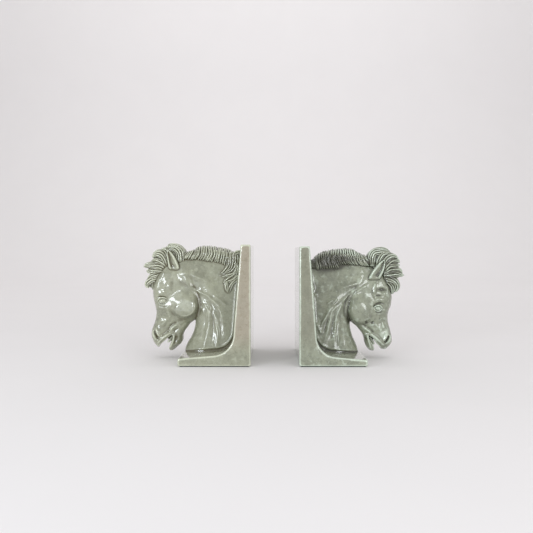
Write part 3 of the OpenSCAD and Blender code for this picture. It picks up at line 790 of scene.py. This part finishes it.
def open_mouth(clay, side, head):
    """The head with its mouth cut out, right through except near the corner, and the tongue in it."""
    h = HORSES[side]
    u, z = clay.flat_u, clay.flat_z
    outside = -depth_in(smooth_line(h["mouth"], closed=True), u, z)
    corner_u, corner_z = h["mouth_corner"]
    through = 9 * ease(7, 10, np.hypot(u - corner_u, z - corner_z))
    wall = 3.6 - np.abs(clay.w) - clay.sheet(through)
    head = carve(head, np.maximum(clay.sheet(outside), wall), 0.8)
    strip, _ = line_distance(smooth_line(h["tongue"]), u, z)
    tongue = round_max(clay.sheet(strip - TONGUE_R), np.abs(clay.w) - TONGUE_HALF, 1.0)
    return np.minimum(head, tongue)


def head_field(clay, side):
    """The head, which rounds over most sharply round the mouth."""
    u, z = clay.flat_u, clay.flat_z
    depth = depth_in(smooth_line(HORSES[side]["head"], closed=True), u, z)
    to_face = face_share(side, u, z)
    edge = 8.5 + 0.5 * to_face - 3 * ease(40, 25, z)
    return open_mouth(clay, side, relief(clay, depth, head_half(side, depth, to_face, u, z), edge))


def horse_field(clay, side, slab):
    """The neck and the head in one, with a softer blend between them higher up."""
    soft = 1.5 + 5 * ease(84, 100, clay.flat_z)
    body = blend(neck_field(clay, side), head_field(clay, side), clay.sheet(soft))
    return np.maximum(body, -(slab + SUNK))


def ear_field(clay, side, toward):
    """An ear: a leaf that leans outwards, hollowed on its outer face behind a thick front rim."""
    h = HORSES[side]
    u, z = clay.flat_u, clay.flat_z
    outline = smooth_line(h["ear"], closed=True)
    depth = depth_in(outline, u, z)
    root_z, root_w = h["ear_root"]
    sunk = clay.sheet(5.0 * ease(root_z + 5, root_z - 3, z))
    out = toward * clay.w - root_w - 0.12 * (clay.z - root_z) + sunk
    half, edge = 3.2, 3.6
    rim = clay.sheet(np.maximum(0, 1 - depth / edge) ** 2)
    leaf = half * (np.sqrt((out / half) ** 2 + rim) - 1)
    behind, _ = line_distance(smooth_line(h["ear"][:5]), u, z)
    beyond, _ = line_distance(smooth_line(h["ear"][7:] + h["ear"][:1]), u, z)
    share = behind / (behind + beyond)
    hollow = 3.4 * ease(0.12, 0.34, share) * ease(1.0, 0.36, share) * ease(0.2, 1.6, depth)
    hollow = hollow * ease(root_z - 1, root_z + 8, z)
    return carve(leaf, half - clay.sheet(hollow) - out, 0.6)


# ----------------------------------------
# Hair: strands are rows of balls

STRAND_R = 1.0  # mm
STRAND_PITCH = 2.65  # mm between strands round a lock
UNEVEN = (0.85, 1.15)  # the thinnest and the thickest strand, as shares of STRAND_R
BALL_PITCH = 0.8  # grid steps between the balls of a strand
HAIR_POOL_AND_SHADE = 0.34  # how much more pooled colour the hair gets: glaze gathered between the strands, and painted shade
SCALP_HALF, SCALP_EDGE = 9.5, 6  # mm, half the thickness under the forelock and how far it rounds over
# Columns of the forelock: (side of the middle, mm further back at each next point, mm lower)
COLUMNS = ((-1, 0.0, 0.0), (0, -0.25, -0.9), (1, 0.35, 1.4))


def evenly(path, spacing):
    """A path's points again, at even steps, and their distances from its start."""
    length = np.concatenate([[0], np.cumsum(np.linalg.norm(np.diff(path, axis=0), axis=1))])
    n = max(int(length[-1] / spacing), 2)
    s = np.linspace(0, length[-1], n + 1)
    return np.stack([np.interp(s, length, path[:, i]) for i in range(path.shape[1])], axis=1), s


def round_section(thick, wide, pitch):
    """Places round a lock's section at even steps, as shares of its two half sizes."""
    angle = np.linspace(0, 2 * math.pi, 721)
    c, w = np.cos(angle), np.sin(angle)
    reach = (np.abs(c) ** 2.6 + np.abs(w) ** 2.6) ** (-1 / 2.6)
    c, w = c * reach, w * reach
    run = np.concatenate([[0], np.cumsum(np.hypot(np.diff(c * thick), np.diff(w * wide)))])
    count = max(int(round(run[-1] / pitch)), 5)
    at = run[-1] * np.arange(count) / count
    return np.interp(at, run, c), np.interp(at, run, w)


def lock(clay, spine, thick, wide, rng, middle):
    """A lock of hair at w = middle: a flat core along its spine, in strands that close in at the tip."""
    line, s = evenly(smooth_line(spine, per=12), BALL_PITCH * clay.step)
    t = s / s[-1]
    run = np.gradient(line, axis=0)
    run /= np.linalg.norm(run, axis=1)[:, None]
    across = np.stack([-run[:, 1], run[:, 0]], axis=1)
    closing = 0.12 + 0.88 * np.cos(0.5 * math.pi * np.clip((t - 0.45) / 0.55, 0, 1)) ** 0.6
    closing = closing * (0.5 + 0.5 * ease(0, 0.2, t))
    a, b = thick * closing, wide * (0.22 + 0.78 * closing)
    core = np.maximum(np.minimum(a, b) - 0.75, 0.4)
    steps = int(math.ceil(2 * abs(wide - thick) / (0.8 * min(wide, thick)))) + 1
    for share in np.linspace(-1, 1, steps):
        place = line + across * (share * np.maximum(a - b, 0))[:, None]
        clay.stamp(lifted(place, middle + share * np.maximum(b - a, 0)), core)
    for c, w in zip(*round_section(thick, wide, STRAND_PITCH)):
        ending = rng.uniform(0.92, 1.0)
        keep = t <= ending
        wave = 0.25 * np.sin(t * rng.uniform(5, 9) + rng.uniform(0, 6))
        place = line + across * (a * c + wave)[:, None]
        radii = STRAND_R * rng.uniform(*UNEVEN) * (1 - 0.5 * ease(0.6, 1, t[keep] / ending))
        clay.stamp(lifted(place, middle + b * w)[keep], radii)


def mane_maps(clay, side):
    """How deep each (u, z) lies in the mane, half of the mane's thickness, and how far it rounds over."""
    h = HORSES[side]
    u, z = clay.flat_u, clay.flat_z
    depth = depth_in(smooth_line(h["mane"], closed=True), u, z)
    upper = ease(119, 126, z + 0.1 * (60 - u))
    return depth, table(h["mane_half"], u), 7.0 + 3.0 * upper


def mane_clay(clay, side, rng):
    """The mane: a thick crest with strands combed over it, one tier on another."""
    depth, half, edge = mane_maps(clay, side)
    height = relief_height(depth, half, edge)
    strands = clay.empty()
    between = 16
    for guides, count, lift in HORSES[side]["combs"]:
        curves = np.array([smooth_line(g, per=10) for g in guides])
        last = len(guides) - 1
        across = np.array([smooth_line(curves[:, i], per=between) for i in range(curves.shape[1])])
        for toward in (-1, 1):
            for place in np.linspace(0, last, count) + rng.uniform(-0.06, 0.06, count):
                line = across[:, int(round(np.clip(place, 0, last) * between))]
                line = line[clay.read_flat(depth, line) > 0.5]
                path = lifted(line, toward * clay.read_flat(height, line))
                over = [path[0] * (1, share, 1) + (0, 0, rise) for share, rise in ((0, 0.9), (0.55, 0.6))]
                path, s = evenly(np.concatenate([over, path]), BALL_PITCH * clay.step)
                t = s / s[-1]
                path[:, 1] += toward * (lift * ease(0, 0.4, t) - 0.2 - 0.5 * ease(0.8, 1, t))
                path[:, 0] += 0.22 * np.sin(s * rng.uniform(0.25, 0.45) + rng.uniform(0, 6))
                radii = STRAND_R * rng.uniform(*UNEVEN) * (1 - 0.55 * ease(0.6, 1, t))
                strands.stamp(path, radii * (0.7 + 0.3 * ease(0, 0.15, t)))
    crest = relief(clay, depth - 0.8, half - 0.95, edge)
    return np.minimum(crest, strands.field)


def forelock_clay(clay, side, rng):
    """The forelock: each of its locks in three columns, over a rounded base."""
    hair = clay.empty()
    for spine, thick, wide in HORSES[side]["forelock"]:
        for toward, back, down in COLUMNS:
            slid = [(a - back * i, b - down + rng.uniform(-0.5, 0.5)) for i, (a, b) in enumerate(spine)]
            middle = toward * 0.56 * wide + rng.uniform(-0.5, 0.5)
            lock(hair, slid, 1.15 * thick, 0.46 * wide, rng, middle)
    u, z = clay.flat_u, clay.flat_z
    depth = depth_in(smooth_line(HORSES[side]["scalp"], closed=True), u, z)
    scalp = relief(clay, depth, np.full(u.shape, SCALP_HALF), SCALP_EDGE)
    return np.minimum(hair.field, scalp)


def tail_clay(clay, side, rng):
    """The lock at the end of the mane, which lies on both flanks of the neck."""
    h = HORSES[side]
    hair = clay.empty()
    for spine, thick, wide, proud in h["tail"]:
        middle = table(h["neck_half"], spine[len(spine) // 2][1]) + proud
        for toward in (-1, 1):
            lock(hair, spine, thick, wide, rng, toward * middle)
    return hair.field


# ----------------------------------------
# Eyes

EYE_HALF = (3.9, 2.6, 3.3)  # mm, half sizes of an eyeball along u, z and w
EYE_R = 2.9  # mm, the radius that distances from it are reckoned with
# The lids, upper and lower: (line about the middle of the eye, radius of the lid)
LIDS = [([(-5.6, 1.0), (-3.0, 3.1), (1.0, 3.6), (4.2, 2.3), (6.0, -0.4)], 0.7),
        ([(-5.2, 0.2), (-3.9, -2.8), (0.2, -4.4), (3.8, -3.0), (5.2, -0.8)], 0.42)]
LID_BALL = 4.2  # mm, about the radius of the ball that the lids lie on


def eye_field(clay, side, toward):
    """An eyeball between its lids."""
    h = HORSES[side]
    eye_u, eye_z = h["eye"]
    size = h["eye_size"]
    offsets = (clay.u - eye_u, clay.z - eye_z, toward * clay.w - h["eye_w"])
    reach = np.sqrt(sum((offset / half) ** 2 for offset, half in zip(offsets, EYE_HALF)))
    ball = EYE_R * (reach / size - 1)
    lids = clay.empty()
    for points, radius in LIDS:
        line = size * smooth_line(points, per=12)
        rise = h["eye_w"] - 0.2 + np.sqrt(np.maximum(LID_BALL ** 2 - 0.55 * (line ** 2).sum(1), 1))
        path, s = evenly(lifted(line + h["eye"], toward * rise), 0.25)
        lids.stamp(path, radius * (0.7 + 0.3 * np.sin(math.pi * s / s[-1])))
    return blend(ball, lids.field, 0.3)


# ----------------------------------------
# Materials

LIGHT = (0.56, 0.585, 0.455)  # glaze that runs thin over an edge, also the colour of painted highlights along ridges and edges
BODY = (0.300, 0.308, 0.224)  # glaze over plain clay
DARK = {"left": (0.095, 0.085, 0.042), "right": (0.058, 0.059, 0.037)}  # glaze that gathers, also the colour of painted shade; darker on the right, which stands more in shade
SHADE_TAUPE = {"left": (0.33, 0.285, 0.215), "right": (0.215, 0.215, 0.155)}  # painted shade with a warm painted reflection, on the bracket's sides and in its cove; darker on the right
SPECK = (0.15, 0.135, 0.085)
MOTTLE = {"left": 0.36, "right": 0.62}  # strength of the small mottling


def scaled(colour, by):
    """A colour with its channels multiplied by one number, or by one number each."""
    return tuple(np.multiply(colour, by).tolist())


class Nodes:
    """Builds a material's nodes with few words."""

    def __init__(self, name):
        self.material = bpy.data.materials.new(name)
        self.material.use_nodes = True
        self.tree = self.material.node_tree
        self.shader = self.tree.nodes["Principled BSDF"]
        self.place = self.new("ShaderNodeTexCoord").outputs["Object"]

    def new(self, kind, **settings):
        node = self.tree.nodes.new(kind)
        for key, value in settings.items():
            setattr(node, key, value)
        return node

    def link(self, source, target):
        """Links a socket's output, or sets a number or a colour."""
        if isinstance(source, (int, float, tuple)):
            target.default_value = source
        else:
            self.tree.links.new(source, target)

    def noise(self, scale, detail, rough=0.55):
        node = self.new("ShaderNodeTexNoise")
        node.inputs["Scale"].default_value = scale
        node.inputs["Detail"].default_value = detail
        node.inputs["Roughness"].default_value = rough
        self.link(self.place, node.inputs["Vector"])
        return node.outputs["Fac"]

    def cells(self, scale, feature="F1"):
        node = self.new("ShaderNodeTexVoronoi", feature=feature)
        node.inputs["Scale"].default_value = scale
        self.link(self.place, node.inputs["Vector"])
        return node.outputs["Distance"]

    def value(self, key):
        return self.new("ShaderNodeAttribute", attribute_name=key).outputs["Fac"]

    def remap(self, source, low, high, to_low=0.0, to_high=1.0):
        node = self.new("ShaderNodeMapRange", interpolation_type="SMOOTHSTEP")
        for key, value in (("From Min", low), ("From Max", high), ("To Min", to_low), ("To Max", to_high)):
            node.inputs[key].default_value = value
        self.link(source, node.inputs["Value"])
        return node.outputs["Result"]

    def math(self, operation, a, b):
        node = self.new("ShaderNodeMath", operation=operation)
        self.link(a, node.inputs[0])
        self.link(b, node.inputs[1])
        return node.outputs[0]

    def grey(self, value):
        node = self.new("ShaderNodeCombineColor")
        for socket in node.inputs[:3]:
            self.link(value, socket)
        return node.outputs["Color"]

    def mix(self, amount, a, b, blend="MIX"):
        node = self.new("ShaderNodeMix", data_type="RGBA", blend_type=blend)
        self.link(amount, node.inputs["Factor"])
        self.link(a if not isinstance(a, tuple) else (*a, 1.0), node.inputs["A"])
        self.link(b if not isinstance(b, tuple) else (*b, 1.0), node.inputs["B"])
        return node.outputs["Result"]

    def bump(self, height, distance, strength, after=None):
        node = self.new("ShaderNodeBump")
        node.inputs["Strength"].default_value = strength
        node.inputs["Distance"].default_value = distance
        self.link(height, node.inputs["Height"])
        if after is not None:
            self.link(after, node.inputs["Normal"])
        return node.outputs["Normal"]


def mottled(n, body, light, fleck):
    """The colour of the glaze where it is neither thin nor deep, mottled from coarse to fine."""
    colour = body
    for (scale, detail, rough), low, high, strength, other in (
            ((60, 4, 0.6), 0.40, 0.66, 0.8, scaled(body, 0.70)),
            ((28, 2, 0.55), 0.45, 0.70, 0.5, scaled(body, 1.18)),
            ((210, 3, 0.55), 0.50, 0.64, fleck, scaled(body, 0.62)),
            ((170, 3, 0.55), 0.54, 0.68, 0.75 * fleck, light)):
        amount = n.remap(n.noise(scale, detail, rough), low, high, 0, strength)
        colour = n.mix(amount, colour, other)
    return colour


def glaze(side, tint, pale_tint):
    """Celadon glaze: pale where it runs thin over edges, with painted highlights on ridges, brown-green
    where it pools, with painted shade in hollows and creases, finely speckled.
    """
    n = Nodes(f"celadon_{side}")
    light = scaled(LIGHT, pale_tint)
    colour = mottled(n, scaled(BODY, tint), light, MOTTLE[side])
    # Painted shade with a warm painted reflection over the bracket's sides and cove
    colour = n.mix(n.math("MULTIPLY", n.value("bracket_shade"), 0.85), colour, SHADE_TAUPE[side])

    # Pale on ridges, where the pooled colour is below 0: thin glaze and painted highlights. Dark in
    # hollows: pooled glaze and painted shade.
    fine = n.math("MULTIPLY", n.value("pool_shade_fine"), 0.8)
    pool_and_shade = n.math("ADD", fine, n.math("MULTIPLY", n.value("pool_shade_broad"), 0.4))
    pool_and_shade = n.math("ADD", pool_and_shade, n.remap(n.noise(90, 3), 0.3, 0.7, -0.10, 0.10))
    colour = n.mix(n.remap(pool_and_shade, -0.12, -0.72, 0.0, 0.95), colour, light)
    colour = n.mix(n.remap(pool_and_shade, 0.02, 0.60), colour, DARK[side])

    # Iron specks, fine grain and faint crackle lines
    specks = n.math("MULTIPLY", n.remap(n.cells(620), 0.24, 0.12), n.remap(n.noise(230, 2), 0.56, 0.64))
    colour = n.mix(n.math("MULTIPLY", specks, 0.42), colour, SPECK)
    grain = n.remap(n.noise(1500, 2), 0.3, 0.7, 0.90, 1.08)
    colour = n.mix(1.0, colour, n.grey(grain), "MULTIPLY")
    crackle = n.remap(n.cells(150, "DISTANCE_TO_EDGE"), 0.012, 0.0, 0, 0.16)
    n.link(n.mix(crackle, colour, DARK[side]), n.shader.inputs["Base Color"])

    # A clear coat over a softer ground
    n.link(n.remap(n.noise(160, 3), 0.3, 0.7, 0.24, 0.40), n.shader.inputs["Roughness"])
    n.shader.inputs["IOR"].default_value = 1.5
    n.shader.inputs["Coat Weight"].default_value = 1.0
    n.shader.inputs["Coat Roughness"].default_value = 0.035
    n.shader.inputs["Coat IOR"].default_value = 1.5
    soft = n.bump(n.noise(120, 2), 0.0006, 0.35)
    n.link(n.bump(n.noise(900, 2), 0.00008, 0.5, soft), n.shader.inputs["Normal"])
    n.link(soft, n.shader.inputs["Coat Normal"])
    return n.material


def felt():
    """Dark green felt with short matted fibres."""
    n = Nodes("felt")
    fibres = n.noise(2600, 5, 0.7)
    colour = n.mix(n.remap(fibres, 0.3, 0.7), (0.010, 0.016, 0.011), (0.035, 0.048, 0.036))
    colour = n.mix(n.remap(n.noise(140, 3), 0.4, 0.7, 0, 0.4), colour, (0.028, 0.034, 0.030))
    n.link(colour, n.shader.inputs["Base Color"])
    n.link(n.remap(fibres, 0.3, 0.7, 0.85, 1.0), n.shader.inputs["Roughness"])
    n.shader.inputs["Sheen Weight"].default_value = 0.3
    n.link(n.bump(fibres, 0.0003, 0.8), n.shader.inputs["Normal"])
    return n.material


# The right horse's glaze is a darker, cooler copy of the left one's: painted shade and a painted cool cast
# for the horse that faces away from the window light
GLAZE = {"left": glaze("left", (1.0, 1.0, 1.0), (1.0, 1.0, 1.0)),
         "right": glaze("right", (0.92, 0.96, 0.97), (1.0, 1.08, 1.14))}
FELT = felt()


# ----------------------------------------
# Assembly

POOL_AND_SHADE_SCALES = {"pool_shade_fine": (1.1, 2.6), "pool_shade_broad": (3.3, 1.1)}  # (reach in mm, gain) of each scale of the maps of pooled glaze and painted shade


def evened(field, step):
    """A field scaled so that it changes by about 1 for each mm, near its surface."""
    slopes = np.gradient(field, step)
    size = np.sqrt(sum(s * s for s in slopes))
    return np.clip(field / np.maximum(size, 0.35), -FAR, FAR)


def pooling_and_shade(clay, union):
    """Where glaze gathers and where shade is painted, at two scales: above 0 in hollows (pooled glaze and
    painted shade), below 0 on ridges (thin glaze and painted highlights).
    """
    even = evened(union, clay.step)
    maps = {}
    for key, (reach, gain) in POOL_AND_SHADE_SCALES.items():
        cells = max(int(round(reach / clay.step)), 1)
        maps[key] = -gain * blurred(even, cells)
    return maps


def bracket_shading(side, points):
    """How much painted shade, with a warm painted reflection, lies on the bracket, from 0 to 1: on the
    upright's sides and in the cove.
    """
    u, w, z = points.T
    near_side = np.abs(w) - BRACKET_HALF
    sides = ease(-1.2, -0.3, near_side) * ease(12, 42, z)
    cove = ease(2.5, 0.5, np.abs(inner_face(side, u, z))) * ease(-0.6, -2.5, near_side)
    return np.maximum(sides, 0.4 * cove * ease(80, 40, z))


def painted_shade_at(side, points):
    """How much painted shade lies at points of the horse, as more pooled glaze colour than its shape alone
    would gather: in its creases, in the open mouth and along the seam with the bracket, with painted light
    where spots run below 0.
    """
    h = HORSES[side]
    u, _, z = points.T
    more = sum(stroke(on_head(side, line), width, amount, u, z) for line, width, amount in PAINTED_SHADE_STROKES)
    more = more + sum(stroke(*line, u, z) for line in h["shade"])
    more = more + sum(swelling(*spot, u, z) for spot in h["painted_shade_and_light"])
    seam = ease(2.6, 1.4, inner_face(side, u, z))
    mouth = ease(0.4, 1.4, depth_in(smooth_line(h["mouth"], closed=True), u, z))
    off_tongue = ease(1.2, 2.2, line_distance(smooth_line(h["tongue"]), u, z)[0])
    return more + 0.3 * seam + 0.9 * mouth * off_tongue


def solid_piece(name, side, clay, field, maps, nodes, bracket_shade=False, more=0.0):
    """The piece of this field, on which glaze lies and shade is painted as the maps say, and more of both
    if wanted.
    """
    part = clay.empty()
    part.field = field.astype(np.float32)
    points, faces = surface(part)
    points = settled(part, points, faces, 3)
    values = {key: clay.sample(points, grid) for key, grid in maps.items()}
    values["pool_shade_fine"] = values["pool_shade_fine"] + more + (0 if bracket_shade else painted_shade_at(side, points))
    values["bracket_shade"] = bracket_shading(side, points) if bracket_shade else np.zeros(len(points))
    make_piece(name, side, points, faces, values, GLAZE[side], nodes)


def worked(side, clay, wanted):
    """Makes the wanted pieces of a horse on this grid. All of them shape where its glaze pools and where
    shade is painted.
    """
    rng = np.random.default_rng(HAIR_SEED)
    slab = bracket_field(clay, side)
    hair = {"mane": mane_clay(clay, side, rng), "forelock": forelock_clay(clay, side, rng)}
    if HORSES[side]["tail"]:
        hair["mane_tail"] = tail_clay(clay, side, rng)
    parts = {key: np.maximum(field, -(slab + HAIR_SUNK)) for key, field in hair.items()}
    parts["horse"] = horse_field(clay, side, slab)
    parts["ear_front"] = ear_field(clay, side, -1)
    parts["ear_back"] = ear_field(clay, side, 1)
    union = slab
    for field in parts.values():
        union = np.minimum(union, field)
    maps = pooling_and_shade(clay, union)
    for key, replaced in wanted.items():
        if key in parts:
            nodes = [f"{side}_{node}" for node in replaced]
            more = HAIR_POOL_AND_SHADE if key in hair else 0.0
            solid_piece(f"{side}_{key}_glazed", side, clay, parts[key], maps, nodes, more=more)


def eyes(side):
    """Both eyes, each on a fine grid of its own."""
    h = HORSES[side]
    for key, toward in (("front", -1), ("back", 1)):
        middle = np.array((h["eye"][0], toward * h["eye_w"], h["eye"][1]))
        clay = Clay(middle - EYE_REACH, middle + EYE_REACH, EYE_STEP)
        ball = eye_field(clay, side, toward)
        maps = pooling_and_shade(clay, ball)
        solid_piece(f"{side}_eye_{key}_glazed", side, clay, ball, maps, [f"{side}_eye_{key}"])


def bracket(side):
    """The bracket, on a coarse grid with room for its edges."""
    h = HORSES[side]
    low = (-MARGIN, -BRACKET_HALF - MARGIN, FOOT_BOTTOM - MARGIN)
    high = (h["foot_l"] + MARGIN, BRACKET_HALF + MARGIN, h["upright_h"] + MARGIN)
    clay = Clay(low, high, SLAB_STEP)
    slab = bracket_field(clay, side)
    maps = pooling_and_shade(clay, slab)
    solid_piece(f"{side}_bracket_glazed", side, clay, slab, maps, [f"{side}_bracket"], bracket_shade=True)


for side in ("left", "right"):
    worked(side, Clay(*HORSE_SPACE, SKIN_STEP), {"horse": ["neck", "head", "jaw"]})
    worked(side, Clay(*HAIR_SPACE, HAIR_STEP),
           {key: [key] for key in ("mane", "forelock", "mane_tail", "ear_front", "ear_back")})
    eyes(side)
    bracket(side)
    node = bpy.data.objects[f"{side}_felt"]
    node.data.materials.clear()
    node.data.materials.append(FELT)


# ----------------------------------------
# Floor, light and camera

def plain(name, colour, rough):
    """A nearly even, matt colour."""
    n = Nodes(name)
    clouds = n.remap(n.noise(6, 2), 0.3, 0.7, 0, 0.3)
    n.link(n.mix(clouds, colour, scaled(colour, 0.97)), n.shader.inputs["Base Color"])
    n.shader.inputs["Roughness"].default_value = rough
    return n.material


def sweep():
    """A pale floor that curves up into a backdrop."""
    radius, front, back, top, wide = 1.2, -4.0, 1.6, 4.5, 6.0
    steps = 16
    profile = [(front, 0.0), (back, 0.0)]
    for i in range(1, steps + 1):
        a = 0.5 * math.pi * i / steps
        profile.append((back + radius * math.sin(a), radius * (1 - math.cos(a))))
    profile.append((back + radius, top))
    verts = [(x, y, z) for y, z in profile for x in (-wide, wide)]
    faces = [(2 * i, 2 * i + 1, 2 * i + 3, 2 * i + 2) for i in range(len(profile) - 1)]
    mesh = bpy.data.meshes.new("sweep")
    mesh.from_pydata(verts, [], faces)
    mesh.polygons.foreach_set("use_smooth", [True] * len(faces))
    mesh.materials.append(plain("paper", (0.84, 0.82, 0.828), 0.95))
    floor = bpy.data.objects.new("sweep", mesh)
    bpy.context.scene.collection.objects.link(floor)


def lamp(name, place, aim, size, power, colour=(1, 1, 1)):
    """An area lamp that shines on `aim`."""
    data = bpy.data.lights.new(name, "AREA")
    data.shape = "RECTANGLE"
    data.size, data.size_y = size
    data.energy = power
    data.color = colour
    light = bpy.data.objects.new(name, data)
    light.location = place
    light.rotation_euler = (Vector(aim) - Vector(place)).to_track_quat("-Z", "Y").to_euler()
    bpy.context.scene.collection.objects.link(light)


def lights():
    """Window light from the front, with a soft fill from above and a lit backdrop."""
    daylight = (0.88, 0.95, 1.0)
    world = bpy.data.worlds.new("studio")
    world.use_nodes = True
    background = world.node_tree.nodes["Background"]
    background.inputs["Color"].default_value = (1.0, 0.99, 0.98, 1.0)
    background.inputs["Strength"].default_value = 0.62
    bpy.context.scene.world = world
    middle = (0.0, 0.0, 0.07)
    lamp("window", (-0.80, -1.0, 0.21), middle, (0.26, 0.38), 5.0, daylight)
    lamp("pane", (-0.45, -1.12, 0.24), middle, (0.06, 0.36), 1.3, daylight)
    lamp("glow", (0.46, -1.0, 0.24), middle, (0.24, 0.5), 2.3, (0.95, 0.98, 1.0))
    lamp("overhead", (0.0, -0.2, 1.6), middle, (1.4, 1.0), 3.5)
    lamp("right", (1.2, -0.9, 0.7), middle, (0.4, 0.8), 1.2)
    lamp("backdrop", (0.0, 0.9, 2.4), (0.0, 2.6, 1.2), (3.0, 1.0), 22)


def camera():
    """A nearly level view from the front, as high as the heads."""
    data = bpy.data.cameras.new("camera")
    data.sensor_width = 36.0
    data.lens = 40.32
    cam = bpy.data.objects.new("camera", data)
    cam.location = (-0.00475, -0.748, 0.1336)
    cam.rotation_euler = (math.radians(90 - 1.487), 0.0, math.radians(0.336))
    bpy.context.scene.collection.objects.link(cam)
    bpy.context.scene.camera = cam


sweep()
lights()
camera()
bpy.context.scene.view_settings.view_transform = "Standard"
